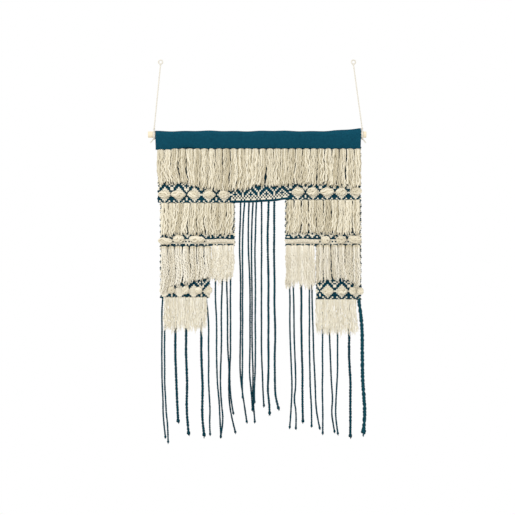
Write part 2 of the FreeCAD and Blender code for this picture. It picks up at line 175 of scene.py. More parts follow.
def yarn_material(name, dark, light, fibre=900, sheen=0.1, gloss=0.12):
    """Spun yarn: each strand its own shade, fine fibres along it, soft fuzz."""
    made = Shader(name, roughness=0.92, sheen=sheen)
    made.shader.inputs["Specular IOR Level"].default_value = gloss
    shade = made.mix(made.tint(), dark, light)
    fibres = made.noise(fibre, 4.0, stretch=(1, 1, 0.25))
    cloudy = made.noise(60, 2.0)
    grey = made.mix(fibres, (0.80, 0.78, 0.74), (1.06, 1.06, 1.06))
    soft = made.mix(cloudy, (0.90, 0.89, 0.86), (1, 1, 1))
    made.colour(made.multiply(made.multiply(shade, grey), soft))
    made.rough(fibres, 0.82, 0.98)
    made.bump(fibres, 0.5, 0.0006)
    return made.material


def twill_material(name):
    """Fine dyed twill: thin diagonal ribs with a slight mottle."""
    made = Shader(name, roughness=0.9, sheen=0.0)
    made.shader.inputs["Specular IOR Level"].default_value = 0.06
    ribs = made.wave(420, (0, math.radians(45), 0), 0.8)
    mottle = made.noise(240, 3.0)
    shade = made.mix(ribs, (0.0030, 0.0500, 0.0830), (0.0060, 0.0780, 0.1220))
    cloud = made.mix(mottle, (0.45, 0.60, 0.66), (1.35, 1.25, 1.20))
    patches = made.mix(made.noise(110, 2.0), (0.78, 0.84, 0.87), (1.16, 1.12, 1.10))
    made.colour(made.multiply(made.multiply(shade, cloud), patches))
    made.rough(mottle, 0.78, 0.95)
    made.bump(ribs, 0.4, 0.0004)
    return made.material


def pine_material():
    """Sanded pine: long grain along the rod, a little darker in the late wood."""
    made = Shader("pine", roughness=0.6, sheen=0.0)
    grain = made.noise(55, 5.0, stretch=(0.06, 1, 1))
    pores = made.noise(900, 2.0, stretch=(0.08, 1, 1))
    shade = made.mix(grain, (0.72, 0.61, 0.43), (0.90, 0.82, 0.65))
    made.colour(made.multiply(shade, made.mix(pores, (0.88, 0.86, 0.82), (1, 1, 1))))
    made.rough(grain, 0.5, 0.72)
    made.bump(pores, 0.25, 0.0003)
    return made.material


def floor_material():
    made = Shader("floor", roughness=0.8, sheen=0.0)
    made.colour(made.mix(made.noise(4, 2.0), (0.82, 0.82, 0.81), (0.86, 0.86, 0.85)))
    return made.material


def make_floor(material, height=-1.9, half=1.5):
    """The floor of the room, well below the cord ends and out of the camera's view."""
    points = [(-half, -half, height), (half, -half, height), (half, half, height), (-half, half, height)]
    mesh = bpy.data.meshes.new("floor")
    mesh.from_pydata(points, [], [(0, 1, 2, 3)])
    mesh.materials.append(material)
    floor = bpy.data.objects.new("floor", mesh)
    bpy.context.scene.collection.objects.link(floor)


# ---------------------------------------------------------------- mesh tools
def new_piece(name, points, face_groups, materials, tint=None, face_material=None):
    """A mesh object from an array of points and arrays of faces, each array of one face size."""
    face_groups = [np.asarray(group, np.int32) for group in face_groups if len(group)]
    mesh = bpy.data.meshes.new(name)
    mesh.vertices.add(len(points))
    mesh.vertices.foreach_set("co", np.asarray(points, np.float32).ravel())
    loops = np.concatenate([group.ravel() for group in face_groups])
    sizes = np.concatenate([np.full(len(group), group.shape[1]) for group in face_groups])
    mesh.loops.add(len(loops))
    mesh.loops.foreach_set("vertex_index", loops)
    mesh.polygons.add(len(sizes))
    mesh.polygons.foreach_set("loop_start", np.concatenate([[0], np.cumsum(sizes)[:-1]]).astype(np.int32))
    mesh.polygons.foreach_set("use_smooth", np.full(len(sizes), True))
    for material in materials:
        mesh.materials.append(material)
    if face_material is not None:
        mesh.polygons.foreach_set("material_index", np.asarray(face_material, np.int32))
    if tint is not None:
        attribute = mesh.attributes.new("tint", "FLOAT", "POINT")
        attribute.data.foreach_set("value", np.asarray(tint, np.float32))
    mesh.update(calc_edges=True)
    mesh.validate()
    piece = bpy.data.objects.new(name, mesh)
    bpy.context.scene.collection.objects.link(piece)
    return piece


def tubes(paths, radii, sides, turns=None, lobes=0, lobe_depth=0.0, across=(0, 1, 0)):
    """Tubes along paths (strand, ring, xyz), closed at both ends. With lobes, the section turns with the yarn's
    twist, so the plies show. Returns points, quads, caps and each point's strand."""
    count, rings = paths.shape[:2]
    along = np.gradient(paths, axis=1)
    along /= np.linalg.norm(along, axis=2, keepdims=True)
    side = np.cross(along, np.asarray(across, float))
    side /= np.maximum(np.linalg.norm(side, axis=2, keepdims=True), 1e-9)
    other = np.cross(along, side)
    angle = np.arange(sides) * 2 * math.pi / sides
    section = 1 + lobe_depth * np.cos(lobes * angle) if lobes else np.ones(sides)
    turned = angle[None, None, :] + (0 if turns is None else turns[:, :, None] * 2 * math.pi)
    radius = radii[:, :, None] * section[None, None, :]
    points = (paths[:, :, None, :]
              + side[:, :, None, :] * (radius * np.cos(turned))[..., None]
              + other[:, :, None, :] * (radius * np.sin(turned))[..., None])
    index = np.arange(count * rings * sides).reshape(count, rings, sides)
    after = np.roll(index, -1, axis=2)
    quads = np.stack([index[:, :-1], after[:, :-1], after[:, 1:], index[:, 1:]], axis=-1).reshape(-1, 4)
    caps = np.concatenate([index[:, 0, ::-1], index[:, -1]])
    return points.reshape(-1, 3), quads, caps, np.repeat(np.arange(count), rings * sides)


def joined(parts):
    """Several (points, quads, caps, strand) sets as one, all with the same number of sides."""
    points, quads, caps, owner = [], [], [], []
    base, first = 0, 0
    for part in parts:
        points.append(part[0])
        quads.append(part[1] + base)
        caps.append(part[2] + base)
        owner.append(part[3] + first)
        base += len(part[0])
        first += int(part[3].max()) + 1
    return np.concatenate(points), np.concatenate(quads), np.concatenate(caps), np.concatenate(owner)


def gathered(parts):
    """The points of several tube sets, and their faces as groups, whatever their numbers of sides."""
    groups, base = [], 0
    for part in parts:
        groups += [part[1] + base, part[2] + base]
        base += len(part[0])
    return np.concatenate([part[0] for part in parts]), groups


def claim(piece, node, body=None):
    """The piece stands for a CAD node, whose part is hidden, and rides on a body if one is given."""
    if body:
        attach(piece, body)
    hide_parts(node)


def smooth_noise(rng, count, rings, waves):
    """Smooth random curves, about -1 to 1, one a strand: a few sines of random phase and size."""
    position = np.linspace(0, 1, rings)[None, :]
    total = np.zeros((count, rings))
    for wave in waves:
        size = rng.uniform(0.4, 1.0, (count, 1)) / math.sqrt(len(waves))
        phase = rng.uniform(0, 2 * math.pi, (count, 1))
        total += size * np.sin(2 * math.pi * wave * position * rng.uniform(0.8, 1.2, (count, 1)) + phase)
    return total


def profile(x, places):
    """A height that changes along the row: places is a short list of (x, height), in millimetres."""
    xs, heights = zip(*places)
    return np.interp(x / MM, xs, heights) * MM


def sag(x, z):
    """How far the cloth hangs out of true: the wide band's lower edge runs downhill to the left."""
    amount = profile(x, [(-299, -8), (-66, -8.5), (-16, -7.5), (24, -5), (53, -3.4), (74, 0.7), (92, 2), (115, 0),
                         (306, 0)])
    return amount * np.interp(z / MM, (-440, -414, -400, -340), (0, 1, 0.9, 0))


def level(height):
    return lambda x: height + 0 * x


# ---------------------------------------------------------------- cords
# Each free cord's diameter and route, from the cloth's edge down to its knot, as in the part's source.
WARP_CORDS = {
    "left_cord_01": (0.004, [
        (-0.284, 0.009, -0.7095), (-0.287, 0.0085, -0.747), (-0.286, 0.008, -0.801), (-0.287, 0.0085, -0.857),
        (-0.2865, 0.008, -0.908), (-0.286, 0.0075, -0.958), (-0.283, 0.008, -1.006), (-0.283, 0.007, -1.053),
        (-0.279, 0.006, -1.092), (-0.276, 0.005, -1.118)]),
    "left_cord_02": (0.004, [
        (-0.277, 0.009, -0.7095), (-0.279, 0.008, -0.75), (-0.278, 0.0085, -0.807), (-0.279, 0.008, -0.86),
        (-0.278, 0.0085, -0.911), (-0.2785, 0.008, -0.961), (-0.275, 0.0085, -1.012), (-0.274, 0.009, -1.047),
        (-0.269, 0.0085, -1.083), (-0.268, 0.0075, -1.133)]),
    "left_cord_03": (0.006, [
        (-0.245, 0.008, -0.7095), (-0.247, 0.0075, -0.756), (-0.246, 0.007, -0.81), (-0.247, 0.0075, -0.863),
        (-0.245, 0.007, -0.913), (-0.243, 0.0075, -0.967), (-0.241, 0.008, -1.017), (-0.238, 0.0058, -1.071)]),
    "left_cord_04": (0.006, [
        (-0.214, 0.008, -0.7095), (-0.215, 0.0075, -0.759), (-0.214, 0.007, -0.813), (-0.215, 0.0075, -0.866),
        (-0.213, 0.008, -0.916), (-0.211, 0.0075, -0.964), (-0.213, 0.007, -1.014), (-0.212, 0.0075, -1.056),
        (-0.207, 0.0058, -1.107)]),
    "left_cord_05": (0.006, [
        (-0.168, 0.008, -0.7095), (-0.17, 0.0075, -0.753), (-0.169, 0.007, -0.807), (-0.1695, 0.0075, -0.86),
        (-0.168, 0.008, -0.911), (-0.165, 0.0075, -0.961), (-0.166, 0.007, -1.012), (-0.167, 0.0075, -1.062),
        (-0.161, 0.0058, -1.112)]),
    "left_cord_06": (0.004, [
        (-0.155, 0.009, -0.7095), (-0.15, 0.008, -0.744), (-0.147, 0.0085, -0.792), (-0.148, 0.008, -0.845),
        (-0.147, 0.0085, -0.899), (-0.148, 0.008, -0.952), (-0.145, 0.0075, -1.003), (-0.143, 0.008, -1.044),
        (-0.145, 0.0075, -1.077), (-0.143, 0.007, -1.11)]),
    "left_cord_07": (0.004, [
        (-0.129, 0.009, -0.5545), (-0.128, 0.0085, -0.605), (-0.127, 0.009, -0.658), (-0.1275, 0.0085, -0.712),
        (-0.124, 0.008, -0.762), (-0.1235, 0.0085, -0.813), (-0.124, 0.008, -0.866), (-0.123, 0.0085, -0.916),
        (-0.121, 0.008, -0.967), (-0.116, 0.0085, -1.012), (-0.114, 0.008, -1.062), (-0.111, 0.0075, -1.118)]),
    "left_cord_08": (0.004, [
        (-0.105, 0.009, -0.5545), (-0.107, 0.0085, -0.608), (-0.1065, 0.009, -0.661), (-0.109, 0.0085, -0.712),
        (-0.11, 0.008, -0.765), (-0.109, 0.0085, -0.818), (-0.11, 0.008, -0.872), (-0.112, 0.0075, -0.919),
        (-0.1125, 0.006, -0.97), (-0.109, 0.004, -1.023), (-0.103, 0.0015, -1.071), (-0.111, -0.0005, -1.116)]),
    "left_cord_09": (0.004, [
        (-0.095, 0.009, -0.5545), (-0.093, 0.0085, -0.608), (-0.094, 0.009, -0.661), (-0.092, 0.0085, -0.712),
        (-0.091, 0.008, -0.765), (-0.0915, 0.0085, -0.818), (-0.09, 0.008, -0.869), (-0.086, 0.0085, -0.916),
        (-0.088, 0.009, -0.967), (-0.086, 0.0085, -1.017), (-0.079, 0.009, -1.062), (-0.068, 0.0075, -1.104)]),
    "left_cord_10": (0.004, [
        (-0.081, 0.009, -0.5545), (-0.083, 0.0085, -0.608), (-0.082, 0.009, -0.661), (-0.083, 0.008, -0.715),
        (-0.082, 0.0085, -0.768), (-0.0825, 0.0075, -0.821), (-0.082, 0.006, -0.872), (-0.085, 0.003, -0.919),
        (-0.084, 0.0025, -0.97), (-0.08, 0.003, -1.014), (-0.074, 0.0025, -1.047)]),
    "centre_cord_01": (0.004, [
        (-0.052, 0.009, -0.4175), (-0.053, 0.0085, -0.468), (-0.055, 0.009, -0.518), (-0.0555, 0.0085, -0.569),
        (-0.053, 0.009, -0.619), (-0.052, 0.0085, -0.67), (-0.053, 0.009, -0.723), (-0.052, 0.0085, -0.777),
        (-0.053, 0.009, -0.83), (-0.054, 0.0085, -0.881), (-0.054, 0.009, -0.928), (-0.048, 0.0085, -0.979),
        (-0.041, 0.009, -1.026), (-0.034, 0.0075, -1.073)]),
    "centre_cord_02": (0.004, [
        (-0.04, 0.009, -0.4175), (-0.044, 0.008, -0.465), (-0.046, 0.0075, -0.516), (-0.047, 0.007, -0.566),
        (-0.0465, 0.0065, -0.616), (-0.046, 0.007, -0.667), (-0.047, 0.0065, -0.72), (-0.046, 0.006, -0.774),
        (-0.047, 0.0055, -0.827), (-0.0465, 0.005, -0.878), (-0.047, 0.004, -0.925), (-0.048, 0.003, -0.964),
        (-0.046, 0.0025, -1.000)]),
    "centre_cord_03": (0.004, [
        (-0.027, 0.009, -0.4175), (-0.029, 0.0085, -0.468), (-0.0295, 0.008, -0.521), (-0.029, 0.0075, -0.572),
        (-0.026, 0.008, -0.622), (-0.0245, 0.0075, -0.673), (-0.024, 0.008, -0.726), (-0.0245, 0.007, -0.78),
        (-0.024, 0.0065, -0.833), (-0.025, 0.006, -0.884), (-0.026, 0.005, -0.934), (-0.02, 0.0035, -0.985),
        (-0.017, 0.002, -1.037)]),
    "centre_cord_04": (0.004, [
        (-0.015, 0.009, -0.4175), (-0.018, 0.0085, -0.465), (-0.0195, 0.009, -0.516), (-0.02, 0.0085, -0.569),
        (-0.0195, 0.009, -0.622), (-0.0185, 0.0085, -0.676), (-0.018, 0.009, -0.729), (-0.0185, 0.0085, -0.783),
        (-0.018, 0.009, -0.836), (-0.017, 0.0085, -0.884), (-0.015, 0.009, -0.928), (-0.016, 0.009, -0.979),
        (-0.014, 0.0085, -1.026), (-0.01, 0.0075, -1.073)]),
    "centre_cord_05": (0.004, [
        (-0.005, 0.009, -0.4175), (-0.007, 0.0085, -0.462), (-0.008, 0.008, -0.513), (-0.01, 0.0075, -0.566),
        (-0.009, 0.008, -0.619), (-0.008, 0.0075, -0.673), (-0.0085, 0.008, -0.726), (-0.009, 0.0075, -0.78),
        (-0.008, 0.007, -0.833), (-0.0085, 0.006, -0.884), (-0.009, 0.0045, -0.931), (-0.012, 0.0025, -0.982),
        (-0.011, 0.0015, -1.014)]),
    "centre_cord_06": (0.004, [
        (0.01, 0.009, -0.4175), (0.0105, 0.0085, -0.465), (0.01, 0.008, -0.518), (0.0105, 0.0085, -0.572),
        (0.0095, 0.008, -0.625), (0.01, 0.0085, -0.679), (0.0095, 0.008, -0.732), (0.01, 0.0085, -0.786),
        (0.0095, 0.008, -0.839), (0.0105, 0.0085, -0.89), (0.013, 0.008, -0.937), (0.014, 0.0085, -0.982),
        (0.017, 0.0075, -1.025)]),
    "centre_cord_07": (0.0052, [
        (0.031, 0.0084, -0.4175), (0.03, 0.008, -0.462), (0.028, 0.0075, -0.513), (0.0285, 0.008, -0.563),
        (0.03, 0.0075, -0.616), (0.031, 0.008, -0.67), (0.03, 0.0075, -0.723), (0.031, 0.008, -0.777),
        (0.03, 0.0075, -0.83), (0.031, 0.008, -0.884), (0.0305, 0.0075, -0.934), (0.028, 0.008, -0.982),
        (0.033, 0.0075, -1.017), (0.034, 0.0065, -1.047)]),
    "centre_cord_08": (0.0052, [
        (0.048, 0.0084, -0.4175), (0.0475, 0.008, -0.459), (0.048, 0.0075, -0.51), (0.047, 0.008, -0.563),
        (0.048, 0.0075, -0.616), (0.049, 0.008, -0.67), (0.048, 0.0075, -0.72), (0.05, 0.008, -0.771),
        (0.051, 0.0075, -0.821), (0.049, 0.008, -0.875), (0.0495, 0.0075, -0.925), (0.05, 0.008, -0.973),
        (0.052, 0.0075, -1.003), (0.06, 0.0065, -1.032)]),
    "right_cord_01": (0.004, [
        (0.092, 0.009, -0.5545), (0.094, 0.0085, -0.608), (0.093, 0.009, -0.661), (0.095, 0.0085, -0.715),
        (0.094, 0.008, -0.768), (0.095, 0.0085, -0.821), (0.097, 0.008, -0.872), (0.099, 0.0085, -0.919),
        (0.101, 0.009, -0.97), (0.099, 0.0085, -1.014), (0.097, 0.009, -1.05), (0.094, 0.0075, -1.089)]),
    "right_cord_02": (0.004, [
        (0.104, 0.009, -0.5545), (0.105, 0.0085, -0.608), (0.104, 0.008, -0.661), (0.106, 0.0085, -0.715),
        (0.1065, 0.008, -0.768), (0.107, 0.0085, -0.821), (0.109, 0.008, -0.872), (0.111, 0.0075, -0.919),
        (0.112, 0.0065, -0.97), (0.106, 0.005, -1.008), (0.114, 0.0045, -1.047), (0.112, 0.004, -1.092)]),
    "right_cord_03": (0.0052, [
        (0.128, 0.0084, -0.5545), (0.127, 0.008, -0.608), (0.1275, 0.0075, -0.661), (0.129, 0.008, -0.715),
        (0.128, 0.0075, -0.768), (0.129, 0.008, -0.821), (0.13, 0.0075, -0.875), (0.132, 0.008, -0.925),
        (0.1315, 0.0075, -0.976), (0.132, 0.008, -1.026), (0.133, 0.0065, -1.071)]),
    "right_cord_04": (0.004, [
        (0.153, 0.009, -0.5545), (0.152, 0.0085, -0.608), (0.153, 0.009, -0.661), (0.152, 0.0085, -0.715),
        (0.153, 0.008, -0.768), (0.152, 0.0085, -0.821), (0.153, 0.008, -0.875), (0.154, 0.0085, -0.928),
        (0.155, 0.008, -0.979), (0.159, 0.0085, -1.032), (0.159, 0.0075, -1.086)]),
    "right_cord_05": (0.004, [
        (0.161, 0.009, -0.5545), (0.1595, 0.0085, -0.608), (0.16, 0.009, -0.661), (0.1605, 0.0085, -0.715),
        (0.162, 0.008, -0.768), (0.164, 0.0085, -0.821), (0.165, 0.008, -0.875), (0.168, 0.0085, -0.925),
        (0.17, 0.008, -0.973), (0.171, 0.0085, -1.014), (0.175, 0.008, -1.056), (0.183, 0.0075, -1.092)]),
    "right_cord_06": (0.004, [
        (0.194, 0.009, -0.7155), (0.191, 0.0085, -0.762), (0.192, 0.008, -0.815), (0.191, 0.0085, -0.869),
        (0.192, 0.008, -0.922), (0.1905, 0.0085, -0.976), (0.192, 0.008, -1.026), (0.1925, 0.0085, -1.065),
        (0.192, 0.0075, -1.107)]),
    "right_cord_07": (0.004, [
        (0.211, 0.009, -0.7155), (0.213, 0.0085, -0.759), (0.212, 0.008, -0.81), (0.214, 0.0085, -0.86),
        (0.216, 0.008, -0.911), (0.218, 0.0085, -0.961), (0.222, 0.008, -1.006), (0.218, 0.0075, -1.042),
        (0.222, 0.008, -1.075), (0.227, 0.0075, -1.102)]),
    "right_cord_08": (0.004, [
        (0.238, 0.009, -0.7155), (0.236, 0.0085, -0.765), (0.2365, 0.008, -0.818), (0.236, 0.0085, -0.872),
        (0.2365, 0.008, -0.925), (0.233, 0.0085, -0.979), (0.231, 0.008, -1.02), (0.23, 0.0085, -1.062),
        (0.237, 0.0075, -1.108)]),
    "right_cord_09": (0.006, [
        (0.272, 0.008, -0.7155), (0.27, 0.0075, -0.762), (0.271, 0.007, -0.815), (0.27, 0.0075, -0.866),
        (0.272, 0.007, -0.913), (0.275, 0.0075, -0.958), (0.274, 0.007, -1.009), (0.2745, 0.0075, -1.059),
        (0.274, 0.0058, -1.115)]),
    "right_cord_10": (0.0084, [
        (0.3, 0.0068, -0.718), (0.305, 0.0063, -0.752), (0.309, 0.006, -0.798), (0.3095, 0.0065, -0.851),
        (0.31, 0.006, -0.905), (0.311, 0.0065, -0.958), (0.315, 0.006, -1.006), (0.318, 0.0065, -1.053),
        (0.313, 0.0038, -1.102)]),
}
# What each group of cords hangs from: its body, and the lower edge of the cloth above it.
CORD_GROUPS = (
    ("left_cord", range(1, 7), "left_foot_hem", "left_foot_weave"),
    ("left_cord", range(7, 11), "left_leg_hem", "left_leg_weave"),
    ("centre_cord", range(1, 9), "centre_cords", "wide_pattern_band"),
    ("right_cord", range(1, 6), "right_leg_hem", "right_leg_weave"),
    ("right_cord", range(6, 11), "right_foot_hem", "right_foot_weave"),
)


def spline_points(route, step):
    """Evenly spaced points along the smooth line that has the route's points as control points."""
    curve = bpy.data.curves.new("route", "CURVE")
    curve.dimensions = "3D"
    curve.resolution_u = 16
    spline = curve.splines.new("NURBS")
    spline.points.add(len(route) - 1)
    for point, place in zip(spline.points, route):
        point.co = (*place, 1)
    spline.order_u = 3
    spline.use_endpoint_u = True
    holder = bpy.data.objects.new("route", curve)
    bpy.context.scene.collection.objects.link(holder)
    mesh = bpy.data.meshes.new_from_object(holder)
    line = np.array([vertex.co for vertex in mesh.vertices], float)
    bpy.data.objects.remove(holder)
    bpy.data.curves.remove(curve)
    bpy.data.meshes.remove(mesh)
    lengths = np.concatenate([[0], np.cumsum(np.linalg.norm(np.diff(line, axis=0), axis=1))])
    wanted = np.linspace(0, lengths[-1], max(8, int(lengths[-1] / step) + 1))
    return np.stack([np.interp(wanted, lengths, line[:, axis]) for axis in range(3)], axis=1), lengths[-1]


def laid_strands(line, diameter, pitch, rng, taper_end=False):
    """Two plies wound round each other along a line, in one set of tubes."""
    rings = len(line)
    length = np.linalg.norm(np.diff(line, axis=0), axis=1).sum()
    position = np.linspace(0, length, rings)
    along = np.gradient(line, axis=0)
    along /= np.linalg.norm(along, axis=1, keepdims=True)
    side = np.cross(along, (0, 1, 0))
    side /= np.maximum(np.linalg.norm(side, axis=1, keepdims=True), 1e-9)
    other = np.cross(along, side)
    ply_radius, offset = 0.40 * diameter, 0.31 * diameter
    wander = smooth_noise(rng, 1, rings, (2.1, 5.3, 11.7))[0]
    angle = 2 * math.pi * position / pitch + 1.4 * wander
    paths, radii = [], []
    for ply in range(2):
        turn = angle + math.pi * ply
        swell = 1 + 0.17 * smooth_noise(rng, 1, rings, (7.0, 17.0, 31.0))[0]
        paths.append(line + offset * (np.cos(turn)[:, None] * side + np.sin(turn)[:, None] * other))
        radii.append(ply_radius * swell)
    radii = np.array(radii)
    if taper_end:
        radii[:, -1] *= 0.55
    return tubes(np.array(paths), radii, 6)


def end_knot(end, direction, diameter, rng, strands=4):
    """An overhand knot: two fat turns round the cord, with a short frayed tail below if it is at a tip."""
    down = np.asarray(direction, float) / np.linalg.norm(direction)
    side = np.cross(down, (0, 1, 0))
    side /= np.linalg.norm(side)
    other = np.cross(down, side)
    rings, turns = 46, 2.15
    sweep = np.linspace(0, 1, rings)
    angle = 2 * math.pi * turns * sweep + rng.uniform(0, 6)
    radius = diameter * (0.50 + 0.10 * np.sin(math.pi * sweep))
    height = diameter * (1.5 * (sweep - 0.5) + 0.22 * np.sin(2 * angle))
    wraps = end + height[:, None] * down + radius[:, None] * (
        np.cos(angle)[:, None] * side + np.sin(angle)[:, None] * other)
    wrap_radii = diameter * 0.36 * np.sin(math.pi * np.clip(sweep, 0.04, 0.96)) ** 0.35
    parts = [tubes(wraps[None], wrap_radii[None], 7, across=down)]
    if not strands:
        return parts[0]
    points = 12
    drop = np.linspace(0, 1, points)
    paths = []
    for _ in range(strands):
        lean = rng.uniform(-0.35, 0.35, 2)
        reach = diameter * rng.uniform(0.8, 1.6)
        bend = rng.uniform(-0.3, 0.3)
        sway = drop + bend * drop * drop
        paths.append(end + (reach * drop + 0.3 * diameter)[:, None] * down
                     + (reach * lean[0] * sway)[:, None] * side + (reach * lean[1] * sway * 0.6)[:, None] * other)
    paths = np.array(paths)
    tail_radii = np.tile(np.interp(drop, (0, 0.7, 1), (0.19, 0.17, 0.09)) * diameter, (strands, 1))
    parts.append(tubes(paths, tail_radii, 7, across=other))
    return joined(parts)


def make_warp_cords(material):
    """Each free warp end is a twisted cord with a knot at its tip."""
    for prefix, numbers, body, cloth in CORD_GROUPS:
        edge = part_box(cloth)[0].z
        for number in numbers:
            name = f"{prefix}_{number:02d}"
            diameter, route = WARP_CORDS[name]
            rng = np.random.default_rng(1000 + sum(map(ord, name)) * 7 + number)
            pitch = diameter * 2.6
            top = edge + sag(route[0][0], edge) + 0.004
            line, length = spline_points([(route[0][0], 0.0096, top)] + route, pitch / 9)
            points, quads, caps, owner = laid_strands(line, diameter, pitch, rng)
            shade = rng.uniform(0.2, 0.9)
            tint = np.clip(shade + 0.25 * (owner - 0.5), 0, 1)
            cord = new_piece(name + "_line", points, [quads, caps], [material], tint)
            knot_parts = end_knot(line[-1], line[-1] - line[-4], diameter, rng)
            tint = np.full(len(knot_parts[0]), shade)
            knot = new_piece(name + "_knot", knot_parts[0], [knot_parts[1], knot_parts[2]], [material], tint)
            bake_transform(cord)
            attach(knot, body)
            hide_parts(name)


# ---------------------------------------------------------------- flat weave
CELL, PICK = 0.00465, 0.00225          # one warp across, one weft down
# Half of each motif, from its middle outwards, mirrored; # is the dark yarn, o a raised cream stitch.
ARCHES = ("..####", ".#.###", "##.###", "###.##", ".###.#", "#.###.", "##.##.", "#.#.#.", ".#.#.#", "#.o.#.",
          "######", "######")
DIAMONDS = ("##.#.#", "###.##", ".###.#", "..##..", "...##.", "....##", ".....#", "....##", "...##.", "..###.",
            ".##.##", "##.###")
TRIANGLES = ("#..#", "##..", ".##.", "####", "....", "#.#.", "....", "##.#", "####")
# the top of each band, its motif on the wings and its motif in the middle
BANDS = ((-0.362, DIAMONDS, ARCHES), (-0.512, TRIANGLES, TRIANGLES), (-0.6555, DIAMONDS, DIAMONDS))
WING_LEFT, WING_RIGHT = -0.080, 0.090
# cloth: left, right, top, bottom
WEAVES = {
    "upper_ground_weave": (-0.299, 0.306, -0.2555, -0.362),
    "wide_pattern_band": (-0.299, 0.306, -0.362, -0.414),
    "left_leg_weave": (-0.292, -0.069, -0.414, -0.551),
    "right_leg_weave": (0.080, 0.307, -0.414, -0.551),
    "left_foot_weave": (-0.292, -0.143, -0.551, -0.706),
    "right_foot_weave": (0.172, 0.307, -0.551, -0.712),
}


def in_band(z):
    return any(0 <= top - z < 2 * PICK * len(wings) for top, wings, middle in BANDS)


def stitch(left, cell, column, z, from_edge):
    """0 for the dark yarn, 1 for cream and 2 for a raised cream stitch, at one crossing of the weave."""
    x = left + (column + 0.5) * cell
    for top, wings, middle in BANDS:
        row = int((top - z) / (2 * PICK))
        if z > top or row >= len(wings):
            continue
        in_middle = WING_LEFT < x < WING_RIGHT
        motif = middle if in_middle else wings
        # the wings' motifs are centred on the puffs, the middle's on its own arches
        centre, step = (-0.024, 0.0465) if in_middle else ((-0.280, 0.0443) if x < 0 else (0.1195, 0.0431))
        if motif is TRIANGLES:
            step = 0.0279
        # each motif is centred on a whole warp, so that both of its halves match
        own = round((centre + round((x - centre) / step) * step - left) / cell - 0.5)
        return "#.o".index(motif[row][min(abs(column - own), len(motif[row]) - 1)])
    if from_edge < 2:
        return int((int(-z / (4 * PICK)) + from_edge) % 2)
    return 0


def make_weave(name, materials):
    """A weft-faced cloth: every weft shows as a small pillow over each warp. The pillows stand in columns where
    there is a motif, and half a step along in every other row where there is none."""
    left, right, top, bottom = WEAVES[name]
    columns, rows = round((right - left) / CELL), round((top - bottom) / PICK)
    across, down = 4 * columns + 1, 2 * rows + 1
    heights = top - (np.arange(rows) + 0.5) * (top - bottom) / rows
    shifts = np.array([0 if in_band(height) else 2 * (r % 2) for r, height in enumerate(heights)])
    i, j = np.meshgrid(np.arange(across), np.arange(down))
    u, v = (i / 4 + shifts[np.minimum(j // 2, rows - 1)] / 4) % 1, (j / 2) % 1
    x = left + (right - left) * i / (across - 1)
    z = top - (top - bottom) * j / (down - 1)
    selvage = np.exp(-np.minimum(x - left, right - x) / 0.006)
    outward = np.sign(x - (left + right) / 2)
    x = x + outward * selvage * 0.0011 * (np.sin(z * 290 + outward) + 0.6 * np.sin(z * 710 + 2 * outward))
    x = x + 0.0005 * np.sin(z * 95) * np.sin(x * 40)
    z = z + 0.0004 * np.sin(x * 160) * np.sin(math.pi * j / (down - 1)) + sag(x, z)
    pillow = np.sin(math.pi * u) ** 0.6 * np.where(v == 0, 0.15, 1.0)
    kinds = np.zeros((rows, 4 * columns), int)
    for r, shift in enumerate(shifts):
        for c in range(columns + shift // 2):
            kind = stitch(left, (right - left) / columns, min(c, columns - 1), heights[r],
                          min(c, abs(columns - 1 - c)))
            kinds[r, max(0, 4 * c - shift):4 * (c + 1) - shift] = kind
    kinds = np.repeat(kinds, 2, axis=0)
    raised = np.pad(kinds == 2, ((0, 1), (0, 1)), mode="edge")
    rim = np.minimum(np.minimum(i, across - 1 - i), 3) / 3
    front = 0.00965 - rim * (0.00140 + 0.0005 * raised) * pillow
    back = 0.01015 + rim * 0.00080 * pillow
    points = np.concatenate([np.stack([x, front, z], -1).reshape(-1, 3), np.stack([x, back, z], -1).reshape(-1, 3)])
    grid = np.arange(across * down).reshape(down, across)
    quads = np.stack([grid[:-1, :-1], grid[1:, :-1], grid[1:, 1:], grid[:-1, 1:]], -1)
    far = quads[..., ::-1] + across * down
    edge = np.concatenate([grid[0, :-1], grid[:-1, -1], grid[-1, :0:-1], grid[:0:-1, 0]])
    onward = np.roll(edge, -1)
    rim_quads = np.stack([edge, onward, onward + across * down, edge + across * down], -1)
    colours = (kinds > 0).astype(int).ravel()
    faces = np.concatenate([quads.reshape(-1, 4), far.reshape(-1, 4), rim_quads])
    slots = np.concatenate([colours, colours, np.zeros(len(rim_quads), int)])
    rng = np.random.default_rng(sum(map(ord, name)))
    tint = np.clip(rng.normal(0.5, 0.2, down)[:, None] + 0.12 * np.sin(x * 23 + z * 61), 0, 1)
    cloth = new_piece(name + "_cloth", points, [faces], materials, np.tile(tint.ravel(), 2), slots)
    claim(cloth, name, "textile")
    return cloth


